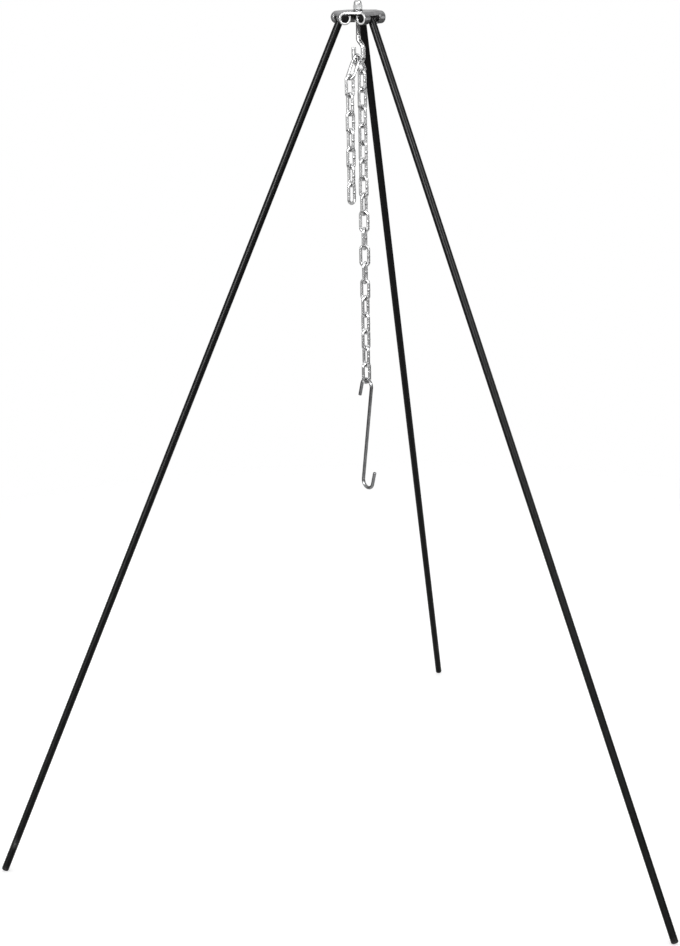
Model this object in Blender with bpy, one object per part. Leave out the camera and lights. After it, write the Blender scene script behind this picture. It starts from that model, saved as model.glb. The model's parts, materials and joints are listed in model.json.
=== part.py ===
# Cooking tripod: three hinged rod legs, a head of rolled sheet, a swivel hook, a chain and an S-hook.
# Metres, +Z up. The back leg points along +Y. The origin is on the ground, under the middle of the box
# that the three feet span.

import math

import bmesh
import bpy
from mathutils import Matrix, Vector

MM = 0.001

# Fits
TOUCH_GAP = 0.3 * MM  # left between pieces that rest on each other
PIN_CLEARANCE = 0.25 * MM  # radial, cross bar in its barrel
SHANK_CLEARANCE = 0.35 * MM  # radial, shank in the head, the washer and the nut
HOOK_IN_LINK_CLEARANCE = 0.4 * MM  # each side, hook rod in a link's opening
S_HOOK_IN_LINK_CLEARANCE = 1.0 * MM  # each side, S-hook wire in a link's opening
TAIL_ROOM = 1.3 * MM  # between the hook rod and the tail's first link

# Legs
LEG_AZIMUTHS = {"back": 90.0, "left": 210.0, "right": 330.0}
LEG_SPLAY = 24.12  # degrees from plumb, at rest
LEG_LENGTH = 1270.0 * MM  # hinge axis to the end of the foot
LEG_DIAMETER = 10.0 * MM
FOOT_ROUNDING = 2.0 * MM
BAR_DIAMETER = 10.0 * MM
BAR_EDGE = 0.6 * MM

# Head
SHEET = 3.0 * MM
HINGE_RADIUS = 23.3 * MM  # tripod axis to hinge axis
BARREL_LENGTH = 39.5 * MM
KNUCKLE_LENGTH = 10.5 * MM
CURL_TURN = 300.0  # degrees, from the flat sheet round to the rolled tip
LIP_ELEVATION = 28.0  # degrees above level, lower edge of the lip over a leg

# Swivel hook, washer and dome nut
HOOK_AZIMUTH = -28.0  # degrees, direction from the tip to the back of the hook
HOOK_BOWL_RADIUS = 8.1 * MM
HOOK_BOWL_DEPTH = 58.5 * MM  # hinge level down to the middle of the rod under the bowl
HOOK_TIP_HEIGHT = 19.5 * MM  # tip's end above the bottom of the bowl
HOOK_SHANK_DROP = 27.0 * MM  # hinge level down to the start of the shank's bend
HOOK_BEND_HEIGHT = 12.0 * MM
WASHER_DIAMETER = 13.0 * MM
WASHER_THICKNESS = 1.3 * MM
NUT_ACROSS_FLATS = 11.1 * MM
NUT_HEX_HEIGHT = 5.6 * MM
NUT_HEIGHT = 12.7 * MM
NUT_DOME_DIAMETER = 10.4 * MM
NUT_HOLE_DEPTH = 9.0 * MM

# Chain
LINK_WIRE = 4.2 * MM
LINK_OPENING = 6.8 * MM  # inside width
LINK_PITCH = 23.5 * MM
STRAND_LINKS = 18
TAIL_LINKS = 8
HOOKED_LINK_TILT = 36.0  # degrees from plumb
TAIL_LEAN = 29.5  # degrees from plumb, tail's first link
# Degrees that each link is turned past a quarter turn from the link above it, from the top
STRAND_TWISTS = (-6, -4, 2, 2, 5, 0, 7, 3, 9, 4, 6, -6, -11, -10, -5, -2, -8, 3)
TAIL_TWISTS = (0, -14, 0, 6, -6, 6, -6, 12)

# S-hook
S_BOWL_RADIUS = 10.0 * MM
S_BOWL_SPACING = 138.4 * MM
S_TIP_HEIGHT = 15.5 * MM  # tip's end past the middle of its bowl
S_FLARE = 7.0  # degrees that each tip opens away from the shaft
S_AZIMUTH = -36.0

# How finely round pieces are cut
ROD_SIDES = 24
LINK_SIDES = 8
CROWN_STEPS = 8
BEND_STEPS = 12

# Sizes that follow from the ones above
PIN_RADIUS = BAR_DIAMETER / 2
BARREL_INNER = PIN_RADIUS + PIN_CLEARANCE
BARREL_OUTER = BARREL_INNER + SHEET
WIRE_RADIUS = LINK_WIRE / 2
CROWN_RADIUS = (LINK_OPENING + LINK_WIRE) / 2
LINK_SEAT = LINK_WIRE + TOUCH_GAP  # wire middle to wire middle where two links hang together
LINK_HEIGHT = LINK_PITCH + LINK_SEAT  # wire middle at one end to wire middle at the other
HOOK_ROD = LINK_OPENING - 2 * HOOK_IN_LINK_CLEARANCE
S_WIRE = LINK_OPENING - 2 * S_HOOK_IN_LINK_CLEARANCE


def clear_scene():
    for obj in list(bpy.data.objects):
        bpy.data.objects.remove(obj, do_unlink=True)


def make_material(name, color, roughness, metallic):
    material = bpy.data.materials.new(name)
    material.use_nodes = True
    shader = material.node_tree.nodes["Principled BSDF"]
    shader.inputs["Base Color"].default_value = (*color, 1.0)
    shader.inputs["Roughness"].default_value = roughness
    shader.inputs["Metallic"].default_value = metallic
    return material


def place(obj, material, parent=None, location=(0, 0, 0), rotation=(0, 0, 0)):
    """Link an object to the scene, with its place and its turn in degrees given in its parent's frame."""
    bpy.context.scene.collection.objects.link(obj)
    obj.parent = parent
    obj.location = location
    obj.rotation_euler = [math.radians(angle) for angle in rotation]
    if material:
        obj.data.materials.append(material)
    return obj


def place_pivot(name, parent=None, location=(0, 0, 0), rotation=(0, 0, 0)):
    """An empty that stands on a joint's axis."""
    pivot = bpy.data.objects.new(name, None)
    pivot.empty_display_size = LEG_DIAMETER
    return place(pivot, None, parent, location, rotation)


def finish_mesh(bm, name, sharp_angle=40.0):
    bmesh.ops.recalc_face_normals(bm, faces=bm.faces)
    mesh = bpy.data.meshes.new(name)
    bm.to_mesh(mesh)
    bm.free()
    mesh.shade_smooth()
    mesh.set_sharp_from_angle(angle=math.radians(sharp_angle))
    return mesh


def turned_mesh(name, profile, steps=ROD_SIDES):
    """Spin a profile of (radius, height) points about Z. A radius of 0 closes the shape there."""
    bm = bmesh.new()
    points = [bm.verts.new((radius, 0, height)) for radius, height in profile]
    edges = [bm.edges.new(pair) for pair in zip(points, points[1:])]
    if profile[0][0] > 0:
        edges.append(bm.edges.new((points[-1], points[0])))
    bmesh.ops.spin(bm, geom=points + edges, cent=(0, 0, 0), axis=(0, 0, 1), angle=math.tau, steps=steps,
                   use_merge=True)
    bmesh.ops.remove_doubles(bm, verts=bm.verts, dist=1e-6)
    return finish_mesh(bm, name)


def rounded_corner(radius, height, rounding, steps=3):
    """Points of a quarter round between the side and the lower end of a turned piece."""
    points = []
    for step in range(steps + 1):
        turn = math.radians(90 * step / steps)
        points.append((radius - rounding * (1 - math.cos(turn)), height + rounding * (1 - math.sin(turn))))
    return points


def rod_curve(name, points, diameter):
    """A bent round rod: a poly curve with a round bevel and closed ends."""
    curve = bpy.data.curves.new(name, "CURVE")
    curve.dimensions = "3D"
    curve.bevel_depth = diameter / 2
    curve.bevel_resolution = 4
    curve.use_fill_caps = True
    spline = curve.splines.new("POLY")
    spline.points.add(len(points) - 1)
    for point, (x, z) in zip(spline.points, points):
        point.co = (x, 0, z, 1)
    spline.use_smooth = True
    return bpy.data.objects.new(name, curve)


def arc(center, radius, start, end, steps=BEND_STEPS):
    """Points on an arc in the XZ plane, from one angle in degrees to another, both ends in."""
    angles = [math.radians(start + (end - start) * step / steps) for step in range(steps + 1)]
    return [(center[0] + radius * math.cos(a), center[1] + radius * math.sin(a)) for a in angles]


def cut(obj, cutter):
    cutter.hide_render = True
    cutter.display_type = "WIRE"
    modifier = obj.modifiers.new("Cut", "BOOLEAN")
    modifier.operation = "DIFFERENCE"
    modifier.solver = "EXACT"
    modifier.object = cutter


def cylinder(name, radius, length, rotation, parent, location=(0, 0, 0)):
    bm = bmesh.new()
    bmesh.ops.create_cone(bm, cap_ends=True, segments=ROD_SIDES, radius1=radius, radius2=radius, depth=length)
    return place(bpy.data.objects.new(name, finish_mesh(bm, name)), None, parent, location, rotation)


def leg_direction(azimuth):
    splay = math.radians(LEG_SPLAY)
    turn = math.radians(azimuth)
    return Vector((math.sin(splay) * math.cos(turn), math.sin(splay) * math.sin(turn), -math.cos(splay)))


def foot_reach(azimuth, direction):
    """How far a leg's rounded end reaches along a direction, from the middle of its end face."""
    lean = leg_direction(azimuth).dot(Vector(direction))
    flat_radius = LEG_DIAMETER / 2 - FOOT_ROUNDING
    return FOOT_ROUNDING * (1 - lean) + flat_radius * math.sqrt(1 - lean * lean)


def foot_middle(azimuth):
    """Middle of a foot's end face, from the point of the tripod axis at hinge level."""
    turn = math.radians(azimuth)
    hinge = Vector((math.cos(turn), math.sin(turn), 0)) * HINGE_RADIUS
    return hinge + leg_direction(azimuth) * LEG_LENGTH


def head_center():
    """The tripod axis at hinge level, so that the feet stand on Z = 0 and their box is centred."""
    reach = {}
    for direction in ((0, 1, 0), (0, -1, 0), (0, 0, -1)):
        reach[direction] = max(
            foot_middle(a).dot(Vector(direction)) + foot_reach(a, direction) for a in LEG_AZIMUTHS.values()
        )
    return Vector((0, (reach[0, -1, 0] - reach[0, 1, 0]) / 2, reach[0, 0, -1]))


def head_plate_mesh():
    """A six-sided sheet whose three long edges are rolled down and round into barrels.

    Each long edge is parted where the leg passes. The lip over the leg is rolled a little way, and the
    knuckle on each side of it goes the whole way round.
    """
    bm = bmesh.new()
    top, bottom = BARREL_OUTER, BARREL_INNER
    window_half = BARREL_LENGTH / 2 - KNUCKLE_LENGTH
    stations = (-BARREL_LENGTH / 2, -window_half, window_half, BARREL_LENGTH / 2)
    outline = []
    for azimuth in sorted(LEG_AZIMUTHS.values()):
        turn = Matrix.Rotation(math.radians(azimuth), 3, "Z")
        outline += [turn @ Vector((HINGE_RADIUS, along, bottom)) for along in stations]
    floor = bm.faces.new([bm.verts.new(point) for point in outline])
    raised = bmesh.ops.extrude_face_region(bm, geom=[floor])["geom"]
    raised = [item for item in raised if isinstance(item, bmesh.types.BMVert)]
    bmesh.ops.translate(bm, verts=raised, vec=(0, 0, top - bottom))
    bmesh.ops.recalc_face_normals(bm, faces=bm.faces)
    for azimuth in LEG_AZIMUTHS.values():
        roll_edge(bm, azimuth, stations)
    return finish_mesh(bm, "head_plate", 50.0)


def roll_edge(bm, azimuth, stations):
    """Roll one long edge of the sheet about its hinge axis, the lip first and then the two knuckles."""
    turn = Matrix.Rotation(math.radians(azimuth), 3, "Z")
    outward, along = turn @ Vector((1, 0, 0)), turn @ Vector((0, 1, 0))
    edge_faces = {}
    for face in bm.faces:
        middle = face.calc_center_median()
        if face.normal.dot(outward) > 0.99 and abs(middle.dot(outward) - HINGE_RADIUS) < TOUCH_GAP:
            edge_faces[round(middle.dot(along) / KNUCKLE_LENGTH)] = face
    faces = [edge_faces[key] for key in sorted(edge_faces)]
    lip_turn = 90 - LIP_ELEVATION
    faces = roll_faces(bm, faces, outward * HINGE_RADIUS, along, lip_turn, 5)
    knuckles = [face for face in faces if abs(face.calc_center_median().dot(along)) > stations[2]]
    roll_faces(bm, knuckles, outward * HINGE_RADIUS, along, CURL_TURN - lip_turn, 18)


def roll_faces(bm, faces, center, axis, angle, steps):
    """Extrude faces round an axis in equal steps, and return the faces at the end."""
    for _ in range(steps):
        rolled = bmesh.ops.extrude_face_region(bm, geom=faces)["geom"]
        bmesh.ops.delete(bm, geom=faces, context="FACES")
        verts = [item for item in rolled if isinstance(item, bmesh.types.BMVert)]
        faces = [item for item in rolled if isinstance(item, bmesh.types.BMFace)]
        bmesh.ops.rotate(bm, verts=verts, cent=center, matrix=Matrix.Rotation(math.radians(angle / steps), 3, axis))
    return faces


def build_head(center, material):
    plate = place(bpy.data.objects.new("head_plate", head_plate_mesh()), material, None, center)
    hole = cylinder("shank_hole", HOOK_ROD / 2 + SHANK_CLEARANCE, 4 * SHEET, (0, 0, 0), plate,
                    (0, 0, BARREL_OUTER - SHEET / 2))
    cut(plate, hole)
    return plate


def leg_rod_mesh():
    """A plain rod down from the hinge axis, with a rounded free end."""
    radius = LEG_DIAMETER / 2
    profile = [(0, 0), (radius, 0)]
    profile += rounded_corner(radius, -LEG_LENGTH, FOOT_ROUNDING)
    profile.append((0, -LEG_LENGTH))
    return turned_mesh("leg_rod", profile)


def cross_bar_mesh():
    half = BARREL_LENGTH / 2
    flat = PIN_RADIUS - BAR_EDGE
    profile = [(0, half), (flat, half), (PIN_RADIUS, half - BAR_EDGE)]
    profile += [(radius, -height) for radius, height in reversed(profile)]
    return turned_mesh("cross_bar", profile)


def build_leg(name, azimuth, plate, rod_mesh, bar_mesh, material):
    """A rod with its coped top against the cross bar that turns in the barrel."""
    hinge = Vector((math.cos(math.radians(azimuth)), math.sin(math.radians(azimuth)), 0)) * HINGE_RADIUS
    pivot = place_pivot(f"leg_hinge_{name}", plate, hinge, (0, -LEG_SPLAY, azimuth))
    rod = place(bpy.data.objects.new(f"leg_rod_{name}", rod_mesh.copy()), material, pivot)
    cut(rod, cylinder(f"cope_{name}", PIN_RADIUS + TOUCH_GAP, 2 * LEG_DIAMETER, (90, 0, 0), pivot))
    place(bpy.data.objects.new(f"cross_bar_{name}", bar_mesh.copy()), material, pivot, (0, 0, 0), (90, 0, 0))


def hook_points(shank_top):
    """Middle line of the swivel hook: shank, side step, back, bowl and tip. X runs from the tip to the back."""
    radius = HOOK_BOWL_RADIUS
    bowl_level = radius - HOOK_BOWL_DEPTH
    points = [(0, shank_top), (0, -HOOK_SHANK_DROP)]
    for step in range(1, BEND_STEPS + 1):
        share = step / BEND_STEPS
        sideways = radius * (1 - math.cos(math.pi * share)) / 2
        points.append((sideways, -HOOK_SHANK_DROP - HOOK_BEND_HEIGHT * share))
    points += arc((0, bowl_level), radius, 0, -180)
    points.append((-radius, HOOK_TIP_HEIGHT - HOOK_BOWL_DEPTH))
    return points


def washer_mesh():
    inner, outer = HOOK_ROD / 2 + SHANK_CLEARANCE, WASHER_DIAMETER / 2
    profile = [(inner, 0), (outer, 0), (outer, WASHER_THICKNESS), (inner, WASHER_THICKNESS)]
    return turned_mesh("nut_washer", profile)


def dome_nut_mesh():
    """Six flats under a dome, with a blind hole from below. Each ring is a height and a radius at each angle."""
    apothem, hole, dome = NUT_ACROSS_FLATS / 2, HOOK_ROD / 2 + SHANK_CLEARANCE, NUT_DOME_DIAMETER / 2

    def hexagon(angle):
        return apothem / math.cos((angle + math.pi / 6) % (math.pi / 3) - math.pi / 6)

    rings = [(NUT_HOLE_DEPTH, hole), (0, hole), (0, hexagon), (NUT_HEX_HEIGHT, hexagon)]
    straight = NUT_HEIGHT - dome
    for point in arc((0, straight), dome, 0, 90, 6)[:-1]:
        rings.append((point[1], point[0]))
    bm = bmesh.new()
    angles = [math.tau * side / ROD_SIDES for side in range(ROD_SIDES)]
    loops = []
    for height, radius in rings:
        sizes = [radius(angle) if callable(radius) else radius for angle in angles]
        loops.append([bm.verts.new((r * math.cos(a), r * math.sin(a), height)) for r, a in zip(sizes, angles)])
    for lower, upper in zip(loops, loops[1:]):
        for side in range(ROD_SIDES):
            after = (side + 1) % ROD_SIDES
            bm.faces.new((lower[side], lower[after], upper[after], upper[side]))
    bm.faces.new(loops[0])
    pole = bm.verts.new((0, 0, NUT_HEIGHT))
    for side in range(ROD_SIDES):
        bm.faces.new((loops[-1][side], loops[-1][(side + 1) % ROD_SIDES], pole))
    return finish_mesh(bm, "dome_nut", 25.0)


def build_swivel(plate, material):
    """The swivel hook and what carries it, in a frame that turns about the tripod axis."""
    pivot = place_pivot("swivel_axis", plate, (0, 0, 0), (0, 0, HOOK_AZIMUTH))
    washer_level = BARREL_OUTER + TOUCH_GAP
    nut_level = washer_level + WASHER_THICKNESS + TOUCH_GAP
    place(bpy.data.objects.new("nut_washer", washer_mesh()), material, pivot, (0, 0, washer_level))
    place(bpy.data.objects.new("dome_nut", dome_nut_mesh()), material, pivot, (0, 0, nut_level))
    shank_top = nut_level + NUT_HOLE_DEPTH - TOUCH_GAP
    place(rod_curve("swivel_hook", hook_points(shank_top), HOOK_ROD), material, pivot)
    return pivot


def link_mesh():
    """One closed oval of round wire. Its origin is the middle of the wire that it hangs on.

    X is across the oval, Z is along it, and the wire below it is hung one pitch down.
    """
    top_center = LINK_SEAT - CROWN_RADIUS
    bottom_center = LINK_SEAT - LINK_HEIGHT + CROWN_RADIUS
    bm = bmesh.new()
    loops = []
    for center, start in ((top_center, 0), (bottom_center, 180)):
        for step in range(CROWN_STEPS + 1):
            turn = math.radians(start + 180 * step / CROWN_STEPS)
            outward = Vector((math.cos(turn), 0, math.sin(turn)))
            middle = Vector((0, 0, center)) + outward * CROWN_RADIUS
            ring = []
            for side in range(LINK_SIDES):
                around = math.tau * side / LINK_SIDES
                offset = outward * math.cos(around) + Vector((0, math.sin(around), 0))
                ring.append(bm.verts.new(middle + offset * WIRE_RADIUS))
            loops.append(ring)
    for loop, after in zip(loops, loops[1:] + loops[:1]):
        for side in range(LINK_SIDES):
            beside = (side + 1) % LINK_SIDES
            bm.faces.new((loop[side], loop[beside], after[beside], after[side]))
    return finish_mesh(bm, "chain_link", 60.0)


def link_twist(twists, number):
    return twists[(number - 1) % len(twists)]


def build_strand(name, numbers, twists, mesh, parent, location, lean=0, turn=0):
    """Links one under another, each a quarter turn and its own twist from the one above."""
    for number in numbers:
        link = bpy.data.objects.new(f"{name}_{number:02d}", mesh)
        parent = place(link, None, parent, location, (lean, 0, turn + link_twist(twists, number)))
        location, lean, turn = (0, 0, -LINK_PITCH), 0, 90
    return parent


def hooked_link_frame():
    """Where the hooked link lies, seen along the hook's rod: across is level, and up is up.

    The link stands across the rod, tilted. Its upper round holds the tail's first link, beside the rod,
    and the long strand hangs from its lower round. All points are measured from the middle of the rod.
    """
    tilt = math.radians(HOOKED_LINK_TILT)
    upward = Vector((-math.sin(tilt), math.cos(tilt)))
    inset = CROWN_RADIUS - LINK_SEAT
    reach = HOOK_ROD / 2 + WIRE_RADIUS + TAIL_ROOM
    shift = inset * math.sin(tilt)
    along = math.sqrt(shift * shift + reach * reach - inset * inset) - shift
    upper_center = upward * along
    lower_center = upper_center - upward * (LINK_HEIGHT - 2 * CROWN_RADIUS)
    lean = math.radians(TAIL_LEAN)
    tail_crown = upper_center + Vector((-inset, 0))
    return {
        "origin": upper_center + upward * (CROWN_RADIUS - LINK_SEAT),
        "tail_seat": tail_crown - Vector((math.sin(lean), math.cos(lean))) * LINK_SEAT,
        "strand_seat": lower_center + Vector((0, -CROWN_RADIUS)),
    }


def build_chain(swivel, material):
    """The hooked link on the rod, the long strand and the tail. Across the rod is the swivel's +Y."""
    mesh = link_mesh()
    mesh.materials.append(material)
    frame = hooked_link_frame()
    rod = place_pivot("hooked_link_axis", swivel, (0, 0, -HOOK_BOWL_DEPTH))

    def at(point):
        return (0, point.x, point.y)

    tilted = place_pivot("hooked_link_tilt", rod, at(frame["origin"]), (HOOKED_LINK_TILT, 0, 0))
    place(bpy.data.objects.new("hooked_link", mesh), None, tilted, (0, 0, 0), (0, 0, 90))
    strand = range(1, STRAND_LINKS + 1)
    last_link = build_strand("strand_link", strand, STRAND_TWISTS, mesh, rod, at(frame["strand_seat"]))
    first_tail = build_strand("tail_link", [1], TAIL_TWISTS, mesh, rod, at(frame["tail_seat"]), -TAIL_LEAN)
    plumb = place_pivot("tail_plumb", first_tail, (0, 0, -LINK_PITCH), (TAIL_LEAN, 0, 0))
    build_strand("tail_link", range(2, TAIL_LINKS + 1), TAIL_TWISTS, mesh, plumb, (0, 0, 0), 0, 90)
    return last_link


def s_hook_points():
    """Middle line of the S-hook: tip, upper bowl, slanted shaft, lower bowl and tip, from its seat on the wire."""
    seat = (LINK_WIRE + S_WIRE) / 2 + TOUCH_GAP
    upper = seat - S_BOWL_RADIUS
    lower = upper - S_BOWL_SPACING
    slant = math.degrees(math.asin(2 * S_BOWL_RADIUS / S_BOWL_SPACING))
    lean = math.radians(slant + S_FLARE)
    tip_reach = S_BOWL_RADIUS * math.cos(lean) + (S_TIP_HEIGHT + S_BOWL_RADIUS * math.sin(lean)) * math.tan(lean)
    points = [(-tip_reach, upper - S_TIP_HEIGHT)]
    points += arc((0, upper), S_BOWL_RADIUS, 180 - slant - S_FLARE, -slant, 14)
    points += arc((0, lower), S_BOWL_RADIUS, 180 - slant, 360 - slant - S_FLARE, 14)
    points.append((tip_reach, lower + S_TIP_HEIGHT))
    return points


def build_tripod():
    clear_scene()
    paint = make_material("black_paint", (0.018, 0.018, 0.019), 0.42, 0.0)
    zinc = make_material("zinc_plate", (0.62, 0.62, 0.62), 0.34, 1.0)
    dull_zinc = make_material("dull_zinc", (0.36, 0.36, 0.37), 0.4, 1.0)
    plate = build_head(head_center(), dull_zinc)
    rod_mesh, bar_mesh = leg_rod_mesh(), cross_bar_mesh()
    for name, azimuth in LEG_AZIMUTHS.items():
        build_leg(name, azimuth, plate, rod_mesh, bar_mesh, paint)
    swivel = build_swivel(plate, zinc)
    last_link = build_chain(swivel, zinc)
    twists = sum(link_twist(STRAND_TWISTS, number) for number in range(1, STRAND_LINKS + 1))
    strand_turn = HOOK_AZIMUTH + 90 * (STRAND_LINKS - 1) + twists
    place(rod_curve("s_hook", s_hook_points(), S_WIRE), dull_zinc, last_link, (0, 0, -LINK_PITCH),
          (0, 0, S_AZIMUTH - strand_turn))
    bpy.context.view_layer.update()


build_tripod()
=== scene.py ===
# Cooking tripod: how every piece looks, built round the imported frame.
import json
import math

import bmesh
import bpy
import numpy as np
from mathutils import Matrix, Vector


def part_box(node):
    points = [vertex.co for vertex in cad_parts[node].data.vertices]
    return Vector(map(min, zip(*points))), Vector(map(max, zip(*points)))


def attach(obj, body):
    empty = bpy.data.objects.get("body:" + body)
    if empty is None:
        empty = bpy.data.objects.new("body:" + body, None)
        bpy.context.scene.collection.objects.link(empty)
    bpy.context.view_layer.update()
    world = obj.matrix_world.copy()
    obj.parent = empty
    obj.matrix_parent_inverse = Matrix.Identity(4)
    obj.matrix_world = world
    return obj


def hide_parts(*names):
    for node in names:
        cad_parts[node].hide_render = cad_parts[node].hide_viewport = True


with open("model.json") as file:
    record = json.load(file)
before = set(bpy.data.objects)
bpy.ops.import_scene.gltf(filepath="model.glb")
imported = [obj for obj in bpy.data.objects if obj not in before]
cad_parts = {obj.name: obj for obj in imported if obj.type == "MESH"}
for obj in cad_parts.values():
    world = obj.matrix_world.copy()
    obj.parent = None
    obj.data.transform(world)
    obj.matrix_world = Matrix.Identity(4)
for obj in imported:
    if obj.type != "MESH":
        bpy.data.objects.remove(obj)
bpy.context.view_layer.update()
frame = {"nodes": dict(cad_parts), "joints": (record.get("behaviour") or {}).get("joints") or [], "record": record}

mm = 0.001
joints = {joint["name"]: joint for joint in frame["joints"]}
mounts = {mount["name"]: mount for mount in frame["record"]["mounts"]}
legNames = ("back", "left", "right")
up = np.array((0.0, 0.0, 1.0))


# Mesh tools

def unit(vectors):
    return vectors / np.linalg.norm(vectors, axis=-1, keepdims=True)


def along(path):
    # distance from the start of a path to each of its points
    steps = np.linalg.norm(np.diff(path, axis=0), axis=1)
    return np.concatenate(([0.0], np.cumsum(steps)))


def pointsAt(path, distances):
    # points of a path at given distances from its start
    measured = along(path)
    return np.stack([np.interp(distances, measured, path[:, axis]) for axis in range(3)], axis=1)


def rodStations(length, rounding, spacing, steps=5):
    # distances along a rod, close together where its ends are rounded
    turn = np.linspace(0, math.pi / 2, steps)
    end = rounding * (1 - np.cos(turn))
    count = max(2, int(round((length - 2 * rounding) / spacing)))
    middle = np.linspace(rounding, length - rounding, count + 1)[1:-1]
    return np.concatenate((end, middle, length - end[::-1]))


def rodRadii(distances, radius, rounding):
    # a rod's radius at each distance, with a quarter round of the given size at both ends
    toEnd = np.minimum(distances, distances[-1] - distances)
    inside = np.clip(rounding - toEnd, 0, rounding)
    return radius - rounding + np.sqrt(rounding ** 2 - inside ** 2)


def ringsAlong(path, radii, flat, sides, closed=False):
    # rings of points round a path that lies in one plane, whose normal is flat
    if closed:
        tangent = np.roll(path, -1, axis=0) - np.roll(path, 1, axis=0)
    else:
        tangent = np.gradient(path, axis=0)
    inward = unit(np.cross(flat, unit(tangent)))
    turn = np.linspace(0, math.tau, sides, endpoint=False)
    spokes = np.cos(turn)[None, :, None] * inward[:, None] + np.sin(turn)[None, :, None] * flat
    radii = np.asarray(radii)
    radii = radii[:, None, None] if radii.ndim == 1 else radii[:, :, None]
    return path[:, None] + radii * spokes


def turnedRings(profile, sides, place, axis=up):
    # rings of points of a turned piece, from a profile of (radius, height)
    profile = np.asarray(profile)
    path = np.asarray(place) + profile[:, 1:2] * axis
    side = unit(np.cross(axis, (0.31, 0.95, 0.02)))  # any direction across the axis
    turn = np.linspace(0, math.tau, sides, endpoint=False)
    spokes = np.cos(turn)[:, None] * side + np.sin(turn)[:, None] * np.cross(axis, side)
    return path[:, None] + profile[:, 0][:, None, None] * spokes[None]


def surface(name, rings, closed=False, sharpAngle=38, **marks):
    # a skin over rings of points; open ends get a flat cap, and marks are values kept at each point
    count, sides = rings.shape[:2]
    rows = count if closed else count - 1
    row, side = np.meshgrid(np.arange(rows), np.arange(sides), indexing="ij")
    nextRow, nextSide = (row + 1) % count, (side + 1) % sides
    quads = np.stack((row * sides + side, row * sides + nextSide,
                      nextRow * sides + nextSide, nextRow * sides + side), axis=-1).reshape(-1, 4)
    faces = quads.tolist()
    if not closed:
        faces += [list(range(sides))[::-1], list(range((count - 1) * sides, count * sides))]
    mesh = bpy.data.meshes.new(name)
    mesh.from_pydata(rings.reshape(-1, 3).tolist(), [], faces)
    centers = rings.mean(axis=1)
    centers = np.concatenate((centers, centers[:1])) if closed else centers
    distance = along(centers)
    u = np.stack((side, side + 1, side + 1, side), axis=-1) / sides
    v = np.stack((distance[row], distance[row], distance[row + 1], distance[row + 1]), axis=-1)
    uv = np.zeros((len(mesh.loops), 2), np.float32)
    uv[:rows * sides * 4] = np.stack((u, v), axis=-1).reshape(-1, 2)
    mesh.uv_layers.new(name="wire").data.foreach_set("uv", uv.ravel())
    for mark, values in marks.items():
        markPoints(mesh, mark, np.broadcast_to(values, (count, sides)))
    return finished(name, mesh, sharpAngle)


def markPoints(mesh, mark, values):
    # a value at each point of a mesh, for its material to read
    layer = mesh.attributes.new(mark, "FLOAT", "POINT")
    layer.data.foreach_set("value", values.astype(np.float32).ravel())


def finished(name, mesh, sharpAngle):
    # faces turned outwards, shaded smooth, and put into the scene
    check = bmesh.new()
    check.from_mesh(mesh)
    inverted = check.calc_volume(signed=True) < 0
    check.free()
    if inverted:
        mesh.flip_normals()
    mesh.shade_smooth()
    mesh.set_sharp_from_angle(angle=math.radians(sharpAngle))
    piece = bpy.data.objects.new(name, mesh)
    bpy.context.scene.collection.objects.link(piece)
    return piece


def dress(piece, material, body, slot, *nodes):
    # what a piece is made of, what it moves with, and which nodes it stands for
    piece.data.materials.clear()
    piece.data.materials.append(material)
    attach(piece, body)
    if nodes:
        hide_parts(*nodes)


def nodePoints(name):
    # the corners of a node's mesh, each once
    mesh = frame["nodes"][name].data
    points = np.empty(len(mesh.vertices) * 3)
    mesh.vertices.foreach_get("co", points)
    return np.unique(points.reshape(-1, 3).round(7), axis=0)


def nodeAxes(name):
    # center of a node's points, and its long, middle and short directions
    points = nodePoints(name)
    center = points.mean(axis=0)
    directions = np.linalg.eigh(np.cov((points - center).T))[1]
    short, across, long = directions.T
    return center, long, across, short


# Material tools

def addNode(tree, kind, values=None, **settings):
    node = tree.nodes.new("ShaderNode" + kind)
    for name, value in settings.items():
        setattr(node, name, value)
    for name, value in (values or {}).items():
        node.inputs[name].default_value = value
    return node


def newGroup(name, inputs, outputs):
    group = bpy.data.node_groups.new(name, "ShaderNodeTree")
    for label, low in inputs.items():
        group.interface.new_socket(label, in_out="INPUT", socket_type="NodeSocketFloat").default_value = low
    for label in outputs:
        group.interface.new_socket(label, in_out="OUTPUT", socket_type="NodeSocketFloat")
    return group, group.nodes.new("NodeGroupInput"), group.nodes.new("NodeGroupOutput")


def useGroup(tree, group, values):
    node = tree.nodes.new("ShaderNodeGroup")
    node.node_tree = group
    for name, value in values.items():
        node.inputs[name].default_value = value
    return node


def makeMottle():
    # cloudy patches over fine specks, 0 to 1, for plating and paint that aren't even
    inputs = {"Patches": 60.0, "Specks": 900.0, "Speck Share": 0.35}
    group, given, result = newGroup("mottle", inputs, ["Mask"])
    place = addNode(group, "TexCoord")
    patches = addNode(group, "TexNoise", {"Detail": 4.0, "Roughness": 0.6})
    specks = addNode(group, "TexNoise", {"Detail": 2.0, "Roughness": 0.5})
    mix = addNode(group, "Mix")
    links = group.links
    links.new(place.outputs["Object"], patches.inputs["Vector"])
    links.new(place.outputs["Object"], specks.inputs["Vector"])
    links.new(given.outputs["Patches"], patches.inputs["Scale"])
    links.new(given.outputs["Specks"], specks.inputs["Scale"])
    links.new(given.outputs["Speck Share"], mix.inputs[0])
    links.new(patches.outputs[0], mix.inputs[2])
    links.new(specks.outputs[0], mix.inputs[3])
    links.new(mix.outputs[0], result.inputs["Mask"])
    return group


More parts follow.
